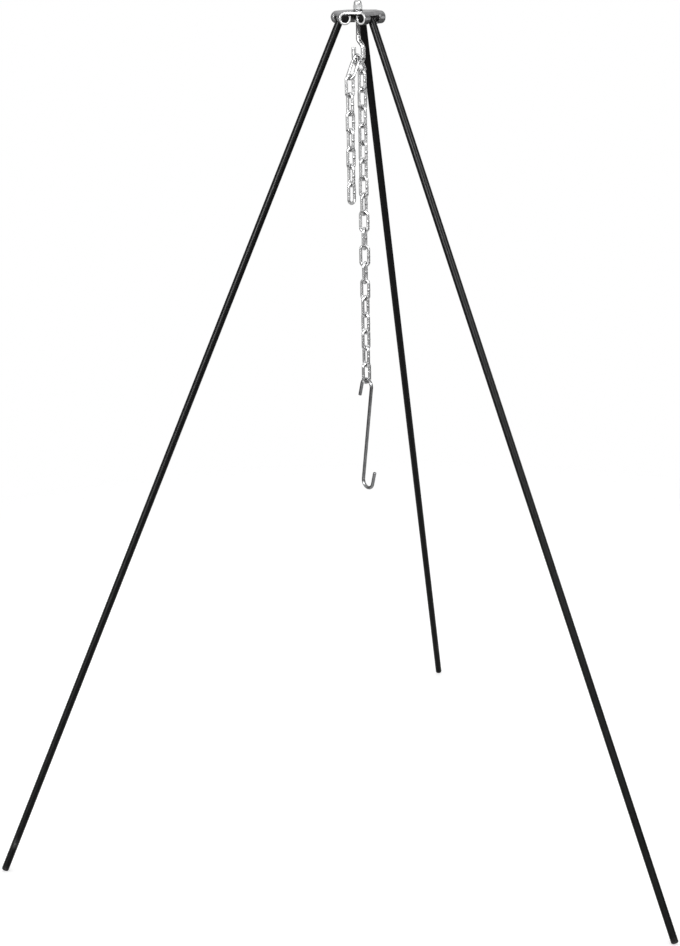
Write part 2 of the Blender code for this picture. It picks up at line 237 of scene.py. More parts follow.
def makeStreaks():
    # fine lines that run along a wire or a rod, from its own unrolled surface
    group, given, result = newGroup("drawnStreaks", {"Across": 14.0, "Lengthwise": 90.0}, ["Mask"])
    surfacePlace = addNode(group, "UVMap", uv_map="wire")
    stretch = addNode(group, "CombineXYZ")
    split = addNode(group, "SeparateXYZ")
    wide, long = addNode(group, "Math", operation="MULTIPLY"), addNode(group, "Math", operation="MULTIPLY")
    lines = addNode(group, "TexNoise", {"Scale": 1.0, "Detail": 3.0, "Roughness": 0.65})
    links = group.links
    links.new(surfacePlace.outputs["UV"], split.inputs[0])
    links.new(split.outputs["X"], wide.inputs[0])
    links.new(given.outputs["Across"], wide.inputs[1])
    links.new(split.outputs["Y"], long.inputs[0])
    links.new(given.outputs["Lengthwise"], long.inputs[1])
    links.new(wide.outputs[0], stretch.inputs["X"])
    links.new(long.outputs[0], stretch.inputs["Y"])
    links.new(stretch.outputs[0], lines.inputs["Vector"])
    links.new(lines.outputs[0], result.inputs["Mask"])
    return group


def makeEdgeRub():
    # bright where an edge stands out, broken up so that it isn't an even line
    group, given, result = newGroup("edgeRub", {"Start": 0.52, "End": 0.62, "Break Up": 260.0}, ["Mask"])
    shape = addNode(group, "NewGeometry")
    place = addNode(group, "TexCoord")
    noise = addNode(group, "TexNoise", {"Detail": 3.0})
    ramp = addNode(group, "MapRange")
    broken = addNode(group, "MapRange", {"From Min": 0.4, "From Max": 0.6})
    product = addNode(group, "Math", operation="MULTIPLY")
    links = group.links
    links.new(shape.outputs["Pointiness"], ramp.inputs["Value"])
    links.new(given.outputs["Start"], ramp.inputs["From Min"])
    links.new(given.outputs["End"], ramp.inputs["From Max"])
    links.new(place.outputs["Object"], noise.inputs["Vector"])
    links.new(given.outputs["Break Up"], noise.inputs["Scale"])
    links.new(noise.outputs[0], broken.inputs["Value"])
    links.new(ramp.outputs[0], product.inputs[0])
    links.new(broken.outputs[0], product.inputs[1])
    links.new(product.outputs[0], result.inputs["Mask"])
    return group


groups = {"mottle": makeMottle(), "streaks": makeStreaks(), "edgeRub": makeEdgeRub()}


def colorRamp(tree, stops):
    ramp = addNode(tree, "ValToRGB")
    stops = list(stops)
    while len(ramp.color_ramp.elements) < len(stops):
        ramp.color_ramp.elements.new(0.5)
    for element, (position, color) in zip(ramp.color_ramp.elements, stops):
        element.position = position
        element.color = (*color, 1.0)
    return ramp


def remap(tree, source, low, high, fromLow=0.3, fromHigh=0.7):
    # a value moved from one range to another, and held at the ends of it
    node = addNode(tree, "MapRange", {"From Min": fromLow, "From Max": fromHigh,
                                      "To Min": low, "To Max": high})
    tree.links.new(source, node.inputs["Value"])
    return node.outputs[0]


def newMaterial(name, color, metallic):
    material = bpy.data.materials.new(name)
    material.use_nodes = True
    material.diffuse_color = (*color, 1.0)
    shader = material.node_tree.nodes["Principled BSDF"]
    shader.inputs["Metallic"].default_value = metallic
    return material, material.node_tree, shader


blackPaint = {
    "deep": (0.0022, 0.0022, 0.0024), "worn": (0.0052, 0.0052, 0.0055), "bare": (0.14, 0.14, 0.14),
    "gloss": 0.14, "smooth": 0.25, "rough": 0.37, "peelScale": 650.0, "peelHeight": 0.035 * mm,
    "mottle": {"Patches": 38.0, "Specks": 1300.0, "Speck Share": 0.4}, "stops": (0.35, 0.7),
    "gritScale": 420.0, "grit": (0.25, 1.0, 0.42, 0.62), "scuffRoughness": 0.25,
}


def makeBlackPaint():
    # satin paint with a light orange peel, and grey scuffs where the point value says so
    material, tree, shader = newMaterial("satinBlackPaint", blackPaint["worn"], 0.0)
    shader.inputs["Specular IOR Level"].default_value = blackPaint["gloss"]
    links = tree.links
    mottle = useGroup(tree, groups["mottle"], blackPaint["mottle"])
    colors = colorRamp(tree, zip(blackPaint["stops"], (blackPaint["deep"], blackPaint["worn"])))
    links.new(mottle.outputs["Mask"], colors.inputs[0])
    scuff = addNode(tree, "Attribute", attribute_name="scuff")
    grit = addNode(tree, "TexNoise", {"Scale": blackPaint["gritScale"], "Detail": 4.0})
    place = addNode(tree, "TexCoord")
    links.new(place.outputs["Object"], grit.inputs["Vector"])
    sharpened = remap(tree, grit.outputs[0], *blackPaint["grit"])
    amount = addNode(tree, "Math", operation="MULTIPLY", use_clamp=True)
    links.new(scuff.outputs["Fac"], amount.inputs[0])
    links.new(sharpened, amount.inputs[1])
    mix = addNode(tree, "Mix", data_type="RGBA")
    mix.inputs[7].default_value = (*blackPaint["bare"], 1.0)
    links.new(amount.outputs[0], mix.inputs[0])
    links.new(colors.outputs[0], mix.inputs[6])
    links.new(mix.outputs[2], shader.inputs["Base Color"])
    rough = remap(tree, mottle.outputs["Mask"], blackPaint["smooth"], blackPaint["rough"])
    rougher = addNode(tree, "Math", operation="MULTIPLY_ADD", use_clamp=True)
    rougher.inputs[1].default_value = blackPaint["scuffRoughness"]
    links.new(amount.outputs[0], rougher.inputs[0])
    links.new(rough, rougher.inputs[2])
    links.new(rougher.outputs[0], shader.inputs["Roughness"])
    peel = addNode(tree, "TexNoise", {"Scale": blackPaint["peelScale"], "Detail": 1.5})
    links.new(place.outputs["Object"], peel.inputs["Vector"])
    bump = addNode(tree, "Bump", {"Strength": 1.0, "Distance": blackPaint["peelHeight"]})
    links.new(peel.outputs[0], bump.inputs["Height"])
    links.new(bump.outputs[0], shader.inputs["Normal"])
    return material


# each finish's grime colour stands for painted shade as well as grime
zincFinishes = {
    "brightZinc": {"dark": (0.50, 0.505, 0.51), "light": (0.86, 0.86, 0.86), "grime": (0.16, 0.155, 0.15),
                   "smooth": 0.16, "rough": 0.34, "patches": 170.0, "bump": 0.012 * mm, "edge": 0.4},
    "dullZinc": {"dark": (0.17, 0.173, 0.178), "light": (0.40, 0.40, 0.405), "grime": (0.07, 0.069, 0.067),
                 "smooth": 0.24, "rough": 0.44, "patches": 120.0, "bump": 0.02 * mm, "edge": 0.7},
    "darkZinc": {"dark": (0.15, 0.153, 0.158), "light": (0.38, 0.38, 0.385), "grime": (0.08, 0.079, 0.077),
                 "smooth": 0.14, "rough": 0.29, "patches": 90.0, "bump": 0.012 * mm, "edge": 0.6},
}
zinc = {
    "specks": 2400.0, "speckShare": 0.3, "streaks": {"Across": 16.0, "Lengthwise": 60.0},
    "streakShare": 0.45, "stops": (0.38, 0.6), "roughOver": (0.38, 0.62),
    "rub": {"Start": 0.53, "End": 0.6, "Break Up": 420.0},
    # the near-white colour for sheared edges is a painted highlight
    "rubbed": (0.9, 0.9, 0.9), "cut": (0.80, 0.80, 0.80), "grimeRoughness": 0.25,
}


def makeZinc(name):
    # plated steel: cloudy grey, lines along a wire, grime and painted shade, bright rubbed edges, and cut edges
    # painted near white as a highlight
    finish = zincFinishes[name]
    material, tree, shader = newMaterial(name, finish["light"], 1.0)
    links = tree.links
    mottle = useGroup(tree, groups["mottle"], {"Patches": finish["patches"], "Specks": zinc["specks"],
                                               "Speck Share": zinc["speckShare"]})
    streaks = useGroup(tree, groups["streaks"], zinc["streaks"])
    blend = addNode(tree, "Mix")
    blend.inputs[0].default_value = zinc["streakShare"]
    links.new(mottle.outputs["Mask"], blend.inputs[2])
    links.new(streaks.outputs["Mask"], blend.inputs[3])
    colors = colorRamp(tree, zip(zinc["stops"], (finish["dark"], finish["light"])))
    links.new(blend.outputs[0], colors.inputs[0])
    # grime and painted shade: the mark each piece carries darkens the plating
    grime = addNode(tree, "Attribute", attribute_name="grime")
    grimyAndShaded = addNode(tree, "Mix", data_type="RGBA")
    grimyAndShaded.inputs[7].default_value = (*finish["grime"], 1.0)
    grimeShare = addNode(tree, "Math", operation="MULTIPLY", use_clamp=True)
    links.new(grime.outputs["Fac"], grimeShare.inputs[0])
    links.new(remap(tree, mottle.outputs["Mask"], 0.5, 1.0), grimeShare.inputs[1])
    links.new(grimeShare.outputs[0], grimyAndShaded.inputs[0])
    links.new(colors.outputs[0], grimyAndShaded.inputs[6])
    edge = useGroup(tree, groups["edgeRub"], zinc["rub"])
    rubbed = addNode(tree, "Mix", data_type="RGBA")
    rubbed.inputs[7].default_value = (*zinc["rubbed"], 1.0)
    edgeShare = addNode(tree, "Math", operation="MULTIPLY")
    edgeShare.inputs[1].default_value = finish["edge"]
    links.new(edge.outputs["Mask"], edgeShare.inputs[0])
    links.new(edgeShare.outputs[0], rubbed.inputs[0])
    links.new(grimyAndShaded.outputs[2], rubbed.inputs[6])
    # painted highlight: faces marked as cut edges turn near white
    cut = addNode(tree, "Attribute", attribute_name="cut")
    bright = addNode(tree, "Mix", data_type="RGBA")
    bright.inputs[7].default_value = (*zinc["cut"], 1.0)
    links.new(cut.outputs["Fac"], bright.inputs[0])
    links.new(rubbed.outputs[2], bright.inputs[6])
    links.new(bright.outputs[2], shader.inputs["Base Color"])
    rough = remap(tree, blend.outputs[0], finish["rough"], finish["smooth"], *zinc["roughOver"])
    dulled = addNode(tree, "Math", operation="MULTIPLY_ADD", use_clamp=True)
    dulled.inputs[1].default_value = zinc["grimeRoughness"]
    links.new(grimeShare.outputs[0], dulled.inputs[0])
    links.new(rough, dulled.inputs[2])
    links.new(dulled.outputs[0], shader.inputs["Roughness"])
    bump = addNode(tree, "Bump", {"Strength": 1.0, "Distance": finish["bump"]})
    links.new(blend.outputs[0], bump.inputs["Height"])
    links.new(bump.outputs[0], shader.inputs["Normal"])
    return material


materials = {"black": makeBlackPaint(), "bright": makeZinc("brightZinc"), "dull": makeZinc("dullZinc"),
             "dark": makeZinc("darkZinc")}
print("materials:", ", ".join(materials))


# Legs: rod, cross bar and the weld between them

leg = {
    "radius": 5.0 * mm, "footRounding": 2.0 * mm, "sides": 48, "spacing": 12 * mm, "fineStations": 40,
    "start": 9 * mm, "coping": 0.25 * mm, "footSteps": 7,
    "barLength": 39.5 * mm, "barRadius": 5.0 * mm, "barEdge": 0.6 * mm, "barSpacing": 2.5 * mm,
    "weldRadius": 1.15 * mm, "weldLump": 0.22 * mm, "weldRipples": 15, "weldDrift": 0.4, "weldSeat": 0.97,
    "weldSteps": 160, "weldSides": 14,
    "weldGround": 1.0 * mm, "groundFrom": 0.15, "groundFade": 0.6, "groundThinning": 0.6,
    "scuffs": {  # distance up from the foot's end, length, where round the rod in degrees, and how strong
        "left": ((44 * mm, 6 * mm, 285, 0.9), (310 * mm, 12 * mm, 40, 0.35)),
        "right": ((150 * mm, 10 * mm, 200, 0.3),),
        "back": ((64 * mm, 8 * mm, 120, 0.35),),
    },
    "scuffWidth": 0.55, "footWear": 0.5, "footWearLength": 5 * mm,
}


def legFrame(name):
    # hinge point, direction down the leg, direction of the hinge axis, and the leg's length
    hinge = np.array(joints[f"leg_{name}_fold"]["pos_m"])
    foot = np.array(mounts[f"foot_{name}"]["pos_m"])
    axis = unit(np.array(joints[f"leg_{name}_fold"]["axis"]))
    return hinge, unit(foot - hinge), axis, np.linalg.norm(foot - hinge)


def legScuffs(name, distance, turn, length):
    # how scuffed each point of a rod is, from the list of scuffs and the wear at the foot's end
    fromFoot = length - distance[:, None]
    wear = leg["footWear"] * np.exp(-(fromFoot / leg["footWearLength"]) ** 2) * np.ones_like(turn)
    for height, size, angle, strength in leg["scuffs"][name]:
        around = np.angle(np.exp(1j * (turn - math.radians(angle))))
        away = -((fromFoot - height) / size) ** 2 - (around / leg["scuffWidth"]) ** 2
        wear = wear + strength * np.exp(away)
    return np.clip(wear, 0, 1)


def saddleDepth(radius, turn):
    # how far down the leg the bar's skin lies, at each angle round a rod of the given radius
    return np.sqrt(np.maximum(leg["barRadius"] ** 2 - (radius * np.cos(turn)) ** 2, 0))


def buildLeg(name):
    hinge, down, axis, length = legFrame(name)
    side = np.cross(axis, down)
    turn = np.linspace(0, math.tau, leg["sides"], endpoint=False)
    spokes = np.cos(turn)[:, None] * side + np.sin(turn)[:, None] * axis
    scuffHeight, scuffSize = leg["scuffs"][name][0][:2]
    fine = np.linspace(length - 4 * scuffSize - scuffHeight, length, leg["fineStations"])
    stations = np.unique(np.concatenate((np.arange(leg["start"], length, leg["spacing"]), fine)).round(6))
    stations = stations[stations < length - leg["footRounding"] - mm / 2]
    corner = np.linspace(0, math.pi / 2, leg["footSteps"])
    stations = np.concatenate((stations, length - leg["footRounding"] * (1 - np.sin(corner))))
    radii = np.full(len(stations), leg["radius"])
    radii[-len(corner):] = leg["radius"] - leg["footRounding"] * (1 - np.cos(corner))
    body = hinge + stations[:, None, None] * down + radii[:, None, None] * spokes
    # the rod's upper end follows the bar: at each angle it starts a little inside the bar's skin
    reach = saddleDepth(leg["radius"], turn) - leg["coping"]
    coped = hinge + reach[:, None] * down + leg["radius"] * spokes
    rings = np.concatenate((coped[None], body))
    distance = np.concatenate(([0.0], stations))
    rod = surface(f"rod_{name}", rings, scuff=legScuffs(name, distance, turn[None], length))
    dress(rod, materials["black"], f"leg_{name}", "black_paint", f"leg_rod_{name}")

    half = leg["barLength"] / 2
    path = hinge + np.array((-half, half))[:, None] * axis
    spots = rodStations(leg["barLength"], leg["barEdge"], leg["barSpacing"])
    radii = rodRadii(spots, leg["barRadius"], leg["barEdge"])
    rings = ringsAlong(pointsAt(path, spots), radii, side, leg["sides"])
    bar = surface(f"bar_{name}", rings, scuff=0.0)
    dress(bar, materials["black"], f"leg_{name}", "black_paint", f"cross_bar_{name}")

    # the weld runs round the saddle where rod and bar meet, as a bead with ripples, and is ground away on
    # the upper flank, so that the leg can open as far as the lip of the sheet
    turn = np.linspace(0, math.tau, leg["weldSteps"], endpoint=False)
    saddle = saddleDepth(leg["weldSeat"] * leg["radius"], turn)
    around = np.cos(turn)[:, None] * side + np.sin(turn)[:, None] * axis
    upperFlank = unit(up - (up @ down) * down)
    ground = np.clip((around @ upperFlank + leg["groundFrom"]) / leg["groundFade"], 0, 1)
    path = hinge + saddle[:, None] * down + (leg["radius"] - leg["weldGround"] * ground)[:, None] * around
    lumps = np.abs(np.sin(leg["weldRipples"] * turn / 2 + leg["weldDrift"] * np.sin(3 * turn)))
    ripples = (leg["weldRadius"] + leg["weldLump"] * lumps) * (1 - leg["groundThinning"] * ground)
    tangent = unit(np.roll(path, -1, axis=0) - np.roll(path, 1, axis=0))
    outward = unit(around - (around * tangent).sum(axis=1, keepdims=True) * tangent)
    spin = np.linspace(0, math.tau, leg["weldSides"], endpoint=False)
    third = np.cross(tangent, outward)
    spokes = np.cos(spin)[None, :, None] * outward[:, None] + np.sin(spin)[None, :, None] * third[:, None]
    bead = surface(f"weld_{name}", path[:, None] + ripples[:, None, None] * spokes, closed=True, scuff=0.0)
    dress(bead, materials["black"], f"leg_{name}", "black_paint")


for name in legNames:
    buildLeg(name)
print("legs:", ", ".join(legNames))


# Head: one sheet with a hole, rolled into a barrel along each long edge

head = {
    "sheet": 3.0 * mm, "hingeRadius": 23.3 * mm, "barrelInner": 5.25 * mm, "barrelLength": 39.5 * mm,
    "knuckle": 10.5 * mm, "curlTurn": 300, "lipTurn": 62, "hole": 3.35 * mm, "edge": 0.5 * mm,
    "curlStep": 5.0, "acrossKnuckle": 5, "acrossLip": 8, "shortEdge": 8, "rings": 7,
    "edgeSteps": 3, "edgeAngle": 50, "merge": 0.02 * mm, "sharp": 45, "slack": 0.05 * mm,
    # the two edge settings set a painted highlight on cut edges, and the last four a painted shade under the plate
    "cutFrom": 0.65, "cutFade": 0.4, "paintedShade": 1.3, "paintedShadeGain": 1.5, "paintedShadeFrom": 0.3, "paintedShadeFade": 1.0 * mm,
}


def outwardOf(name):
    # level direction from the tripod axis to a leg's hinge
    out = np.array(joints[f"leg_{name}_fold"]["pos_m"]) - np.array(joints["hook_swivel"]["pos_m"])
    return unit(out * (1, 1, 0))


def bearingOf(name):
    # angle of a leg round the tripod axis
    out = outwardOf(name)
    return math.atan2(out[1], out[0])


def headSheet():
    # middle surface of the sheet: a plate from the hole to its outline, and three rolled edges
    middle = head["barrelInner"] + head["sheet"] / 2
    half, window = head["barrelLength"] / 2, head["barrelLength"] / 2 - head["knuckle"]
    knuckle = np.linspace(-half, -window, head["acrossKnuckle"] + 1)
    lip = np.linspace(-window, window, head["acrossLip"] + 1)
    stations = np.concatenate((knuckle, lip[1:-1], -knuckle[::-1]))
    center = np.array(joints["hook_swivel"]["pos_m"])
    hair = 1e-9  # so that rounding takes no station off the end of a strip
    # each edge is bent as one lip, and past the lip only the two knuckles beside the leg are rolled on
    strips = ((-half, half, 0, head["lipTurn"]),
              (-half, -window, head["lipTurn"], head["curlTurn"]),
              (window, half, head["lipTurn"], head["curlTurn"]))
    patches, outline = [], []
    for name in sorted(legNames, key=bearingOf):
        out = outwardOf(name)
        side = np.cross(up, out)
        for low, high, first, last in strips:
            across = stations[(stations >= low - hair) & (stations <= high + hair)]
            steps = int(round((last - first) / head["curlStep"]))
            turn = np.radians(np.linspace(first, last, steps + 1))
            reach = head["hingeRadius"] + middle * np.sin(turn)
            profile = reach[:, None] * out + (middle * np.cos(turn))[:, None] * up
            patches.append(center + profile[:, None] + across[None, :, None] * side)
        outline.append(head["hingeRadius"] * out + stations[:, None] * side)
    loop = []
    for edge, after in zip(outline, outline[1:] + outline[:1]):
        share = np.linspace(0, 1, head["shortEdge"] + 1)[1:-1, None]
        loop += [edge, edge[-1] * (1 - share) + after[0] * share]
    loop = np.concatenate(loop)
    inner = head["hole"] * unit(loop)
    share = np.linspace(0, 1, head["rings"])[:, None, None]
    plate = center + middle * up + inner * (1 - share) + loop * share
    patches.append(np.concatenate((plate, plate[:, :1]), axis=1))
    return patches


def buildHead():
    points, faces, start = [], [], 0
    for patch in headSheet():
        rows, columns = patch.shape[:2]
        index = np.arange(rows * columns).reshape(rows, columns) + start
        corners = (index[:-1, :-1], index[:-1, 1:], index[1:, 1:], index[1:, :-1])
        faces += np.stack(corners, axis=-1).reshape(-1, 4).tolist()
        points.append(patch.reshape(-1, 3))
        start += rows * columns
    mesh = bpy.data.meshes.new("head_sheet")
    mesh.from_pydata(np.concatenate(points).tolist(), [], faces)
    joined = bmesh.new()
    joined.from_mesh(mesh)
    bmesh.ops.remove_doubles(joined, verts=joined.verts, dist=head["merge"])
    bmesh.ops.recalc_face_normals(joined, faces=joined.faces)
    joined.to_mesh(mesh)
    joined.free()
    sheet = bpy.data.objects.new("head_sheet", mesh)
    bpy.context.scene.collection.objects.link(sheet)
    wall = sheet.modifiers.new("Wall", "SOLIDIFY")
    wall.thickness = head["sheet"]
    wall.offset = 0
    wall.use_even_offset = True
    edges = sheet.modifiers.new("Edges", "BEVEL")
    edges.width = head["edge"]
    edges.segments = head["edgeSteps"]
    edges.limit_method = "ANGLE"
    edges.angle_limit = math.radians(head["edgeAngle"])
    edges.use_clamp_overlap = False
    graph = bpy.context.evaluated_depsgraph_get()
    solid = bpy.data.meshes.new_from_object(sheet.evaluated_get(graph))
    bpy.data.objects.remove(sheet)
    solid.name = "head_sheet"
    piece = finished("head_sheet", solid, head["sharp"])
    markSheet(piece.data)
    dress(piece, materials["dull"], "head", "dull_zinc", "head_plate")


def markSheet(mesh):
    # painted highlight: 1 where the surface turns away from the face of the sheet, which is where it was sheared,
    # for a near-white edge
    points = np.array([vertex.co for vertex in mesh.vertices])
    normals = np.array([vertex.normal for vertex in mesh.vertices])
    fromCenter = points - np.array(joints["hook_swivel"]["pos_m"])
    outwards = np.array([outwardOf(name) for name in legNames])
    reach = fromCenter @ outwards.T
    out = outwards[reach.argmax(axis=1)]
    radial = (reach.max(axis=1) - head["hingeRadius"])[:, None] * out + fromCenter[:, 2:] * up
    belowPlate = fromCenter[:, 2] < head["barrelInner"] - head["slack"]
    rolled = (reach.max(axis=1) > head["hingeRadius"]) | belowPlate
    facing = np.where(rolled[:, None], unit(radial), up)
    facingShare = np.abs((normals * facing).sum(axis=1))
    markPoints(mesh, "cut", np.clip((head["cutFrom"] - facingShare) / head["cutFade"], 0, 1))
    # painted shade: darker on what faces the middle, and on what faces down under the plate
    inward = -(normals * unit(fromCenter * (1, 1, 0))).sum(axis=1)
    under = np.clip((head["barrelInner"] + head["sheet"] / 2 - fromCenter[:, 2]) / head["paintedShadeFade"], 0, 1)
    sheltered = np.clip(np.maximum(inward, -normals[:, 2]) * head["paintedShadeGain"] - head["paintedShadeFrom"], 0, 1)
    markPoints(mesh, "grime", head["paintedShade"] * under * sheltered)


buildHead()
print("head")


# Swivel hook with its thread, and the washer and dome nut that carry it

swivel = {
    "rod": 6.0 * mm, "bowlRadius": 8.1 * mm, "tipHeight": 19.5 * mm, "shankDrop": 27.0 * mm,
    "bendHeight": 12.0 * mm, "tipRounding": 0.7 * mm, "sides": 40, "spacing": 0.8 * mm,
    "threadPitch": 1.27 * mm, "threadDepth": 0.42 * mm, "threadEnd": 24.0 * mm, "threadRunOut": 2.4 * mm,
    "threadSteps": 10, "shankSteps": 60, "bendSteps": 40, "bowlSteps": 80, "sharp": 60,
}
nut = {
    "washerInner": 3.35 * mm, "washerRounding": 0.25 * mm, "washerGrime": 0.15, "washerSides": 64,
    "acrossFlats": 11.1 * mm, "hexHeight": 5.6 * mm, "dome": 10.4 * mm, "sides": 96,
    "chamfer": 28.0, "chamferStart": 0.15 * mm, "neckExtra": 0.35 * mm, "neckLow": 0.08 * mm,
    "neckHigh": 0.45 * mm, "domeSteps": 18, "domeEnd": 0.992, "sharp": 24,
}


def hookPath(top):
    # middle line of the hook in its own plane, as (level, height) from the tripod axis at hinge level
    depth = joints["hook_swivel"]["pos_m"][2] - joints["hooked_link_rock"]["pos_m"][2]
    radius = swivel["bowlRadius"]
    heights = np.linspace(top, -swivel["shankDrop"], swivel["shankSteps"])
    shank = np.stack((np.zeros_like(heights), heights), axis=1)
    share = np.linspace(0, 1, swivel["bendSteps"])[1:]
    offset = radius * (1 - np.cos(math.pi * share)) / 2
    bend = np.stack((offset, -swivel["shankDrop"] - swivel["bendHeight"] * share), axis=1)
    turn = np.linspace(0, -math.pi, swivel["bowlSteps"])
    bowl = np.stack((radius * np.cos(turn), radius - depth + radius * np.sin(turn)), axis=1)
    tip = np.array(((-radius, swivel["tipHeight"] - depth),))
    return np.concatenate((shank, bend, bowl, tip))


def buildSwivelHook():
    center = np.array(joints["hook_swivel"]["pos_m"])
    level = unit(np.array(joints["hooked_link_rock"]["axis"]))
    flat = np.cross(level, up)
    path = hookPath(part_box("swivel_hook")[1].z - center[2])
    path = center + path[:, :1] * level + path[:, 1:] * up
    length = along(path)[-1]
    stations = rodStations(length, swivel["tipRounding"], swivel["spacing"])
    threadLength = path[0, 2] - center[2] + swivel["threadEnd"]
    fine = np.arange(swivel["tipRounding"], threadLength, swivel["threadPitch"] / swivel["threadSteps"])
    stations = np.unique(np.concatenate((stations, fine)).round(7))
    turn = np.linspace(0, math.tau, swivel["sides"], endpoint=False)
    phase = stations[:, None] / swivel["threadPitch"] - turn[None] / math.tau
    groove = 1 - np.abs(2 * (phase % 1) - 1)
    fade = np.clip((threadLength - stations) / swivel["threadRunOut"], 0, 1)[:, None]
    radii = rodRadii(stations, swivel["rod"] / 2, swivel["tipRounding"])[:, None]
    radii = radii - swivel["threadDepth"] * groove * fade
    rings = ringsAlong(pointsAt(path, stations), radii, flat, swivel["sides"])
    grime = (0.5 + 0.5 * groove) * fade  # painted shade and grime: the thread is darker all over, where the head shades it, and most in its grooves
    hook = surface("hook_with_thread", rings, sharpAngle=swivel["sharp"], grime=grime)
    dress(hook, materials["bright"], "swivel", "bright_zinc", "swivel_hook")


def buildWasher():
    low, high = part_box("nut_washer")
    center = ((low + high) / 2).to_tuple()
    outer, half, corner = (high.x - low.x) / 2, (high.z - low.z) / 2, nut["washerRounding"]
    turn = np.linspace(0, math.pi / 2, 4)
    inset, level = corner * (1 - np.cos(turn)), half - corner * (1 - np.sin(turn))
    top = np.stack((outer - inset, level), axis=1)
    bore = np.stack((nut["washerInner"] + inset, level), axis=1)
    profile = np.concatenate((top[::-1] * (1, -1), top, bore[::-1], bore * (1, -1)))
    rings = turnedRings(profile, nut["washerSides"], center)
    washer = surface("flat_washer", rings, closed=True, grime=nut["washerGrime"])
    dress(washer, materials["dull"], "swivel", "bright_zinc", "nut_washer")


def buildDomeNut():
    # six flats with a cone cut off their corners, under a round dome
    low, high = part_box("dome_nut")
    center, height = (low + high) / 2, high.z - low.z
    turn = np.linspace(0, math.tau, nut["sides"], endpoint=False)
    apothem, dome = nut["acrossFlats"] / 2, nut["dome"] / 2
    hexagon = apothem / np.cos((turn + math.pi / 6) % (math.pi / 3) - math.pi / 6)
    corner = apothem / math.cos(math.pi / 6)
    slope = math.tan(math.radians(nut["chamfer"]))
    # heights of the rings, close together where the cones cut the corners
    levels = np.concatenate(([0.0], np.linspace(0.1 * mm, 0.9 * mm, 6), np.linspace(1.4 * mm, 4.2 * mm, 6),
                             np.linspace(4.5 * mm, nut["hexHeight"], 10)))
    start = apothem - nut["chamferStart"]
    cone = np.minimum(start + levels / slope, start + (nut["hexHeight"] - levels) / slope)
    flats = np.minimum(np.minimum(hexagon[None], cone[:, None]), corner)
    neck = np.minimum(hexagon[None], dome + nut["neckExtra"])
    straight = height - dome
    arcTurn = np.linspace(0, nut["domeEnd"] * math.pi / 2, nut["domeSteps"])
    domeRadii = np.concatenate(([dome], dome * np.cos(arcTurn)))
    domeLevels = np.concatenate(([nut["hexHeight"] + nut["neckHigh"]], straight + dome * np.sin(arcTurn)))
    cap = np.broadcast_to(domeRadii[:, None], (len(domeRadii), nut["sides"]))
    radii = np.concatenate((flats, neck, cap))
    heights = np.concatenate((levels, [nut["hexHeight"] + nut["neckLow"]], domeLevels))
    spokes = np.stack((np.cos(turn), np.sin(turn), np.zeros_like(turn)), axis=1)
    base = np.array((center.x, center.y, low.z))
    rings = base + radii[:, :, None] * spokes + heights[:, None, None] * up
    piece = surface("dome_nut_finished", rings, sharpAngle=nut["sharp"], grime=0.0)
    dress(piece, materials["bright"], "swivel", "bright_zinc", "dome_nut")


buildSwivelHook()
buildWasher()
buildDomeNut()
print("swivel hook, washer and dome nut")


# Chain: closed oval links with a weld in the middle of one side

link = {
    "wire": 4.2 * mm, "crown": 5.5 * mm, "height": 28.0 * mm, "sides": 20,
    "weldBulge": 0.24 * mm, "weldHalf": 0.95 * mm, "crownSteps": 26, "sideSteps": 26,
    # the seat settings darken the crowns' inner sides as grime and painted shade
    "seatGrimeAndShade": 0.75, "grimeLength": 4.5 * mm,
    "weldGrime": 0.35, "weldGrimeWidth": 0.35 * mm, "weldGrimeStart": 1.3, "onStraight": 0.98,
}


def buildLink(name, viewRight):
    # an oval of wire, two half rounds and two straights, with a weld on the straight nearer viewRight
    middle, long, across, short = nodeAxes(name)
    across = across if across @ viewRight > 0 else -across
    long = long if long[2] > 0 else -long
    straight = (link["height"] - 2 * link["crown"]) / 2
    turn = np.linspace(0, math.pi, link["crownSteps"], endpoint=False)
    run = np.linspace(straight, -straight, link["sideSteps"], endpoint=False)
    level = np.concatenate((link["crown"] * np.cos(turn), np.full(len(run), -link["crown"]),
                            -link["crown"] * np.cos(turn), np.full(len(run), link["crown"])))
    height = np.concatenate((straight + link["crown"] * np.sin(turn), run,
                             -straight - link["crown"] * np.sin(turn), -run))
    path = middle + level[:, None] * across + height[:, None] * long
    onWeldSide = level > link["onStraight"] * link["crown"]
    bulge = link["weldBulge"] * np.exp(-(height / link["weldHalf"]) ** 2) * onWeldSide
    radii = link["wire"] / 2 + bulge
    rings = ringsAlong(path, radii, short, link["sides"], closed=True)
    # grime and painted shade where the next links rub and meet: the inner side of both crowns
    spin = np.linspace(0, math.tau, link["sides"], endpoint=False)
    inner = ((rings - path[:, None]) * (middle - path)[:, None]).sum(axis=-1)
    inner = np.clip(inner / (link["wire"] / 2 * np.linalg.norm(middle - path, axis=1)[:, None]), 0, 1)
    atEnd = np.exp(-((np.abs(height) - straight - link["crown"]) / link["grimeLength"]) ** 2)[:, None]
    fromWeld = (np.abs(height) - link["weldGrimeStart"] * link["weldHalf"]) / link["weldGrimeWidth"]
    besideWeld = link["weldGrime"] * np.exp(-fromWeld ** 2) * onWeldSide
    grime = np.maximum(link["seatGrimeAndShade"] * inner * atEnd, besideWeld[:, None])
    piece = surface(f"{name}_wire", rings, closed=True, grime=grime)
    dress(piece, materials["bright"], name, "bright_zinc", name)


# S-hook

sHook = {
    "wire": 4.8 * mm, "bowlRadius": 10.0 * mm, "spacing": 138.4 * mm, "tipHeight": 15.5 * mm,
    "flare": 7, "tipRounding": 0.8 * mm, "sides": 36, "step": 0.9 * mm, "bowlSteps": 90,
}


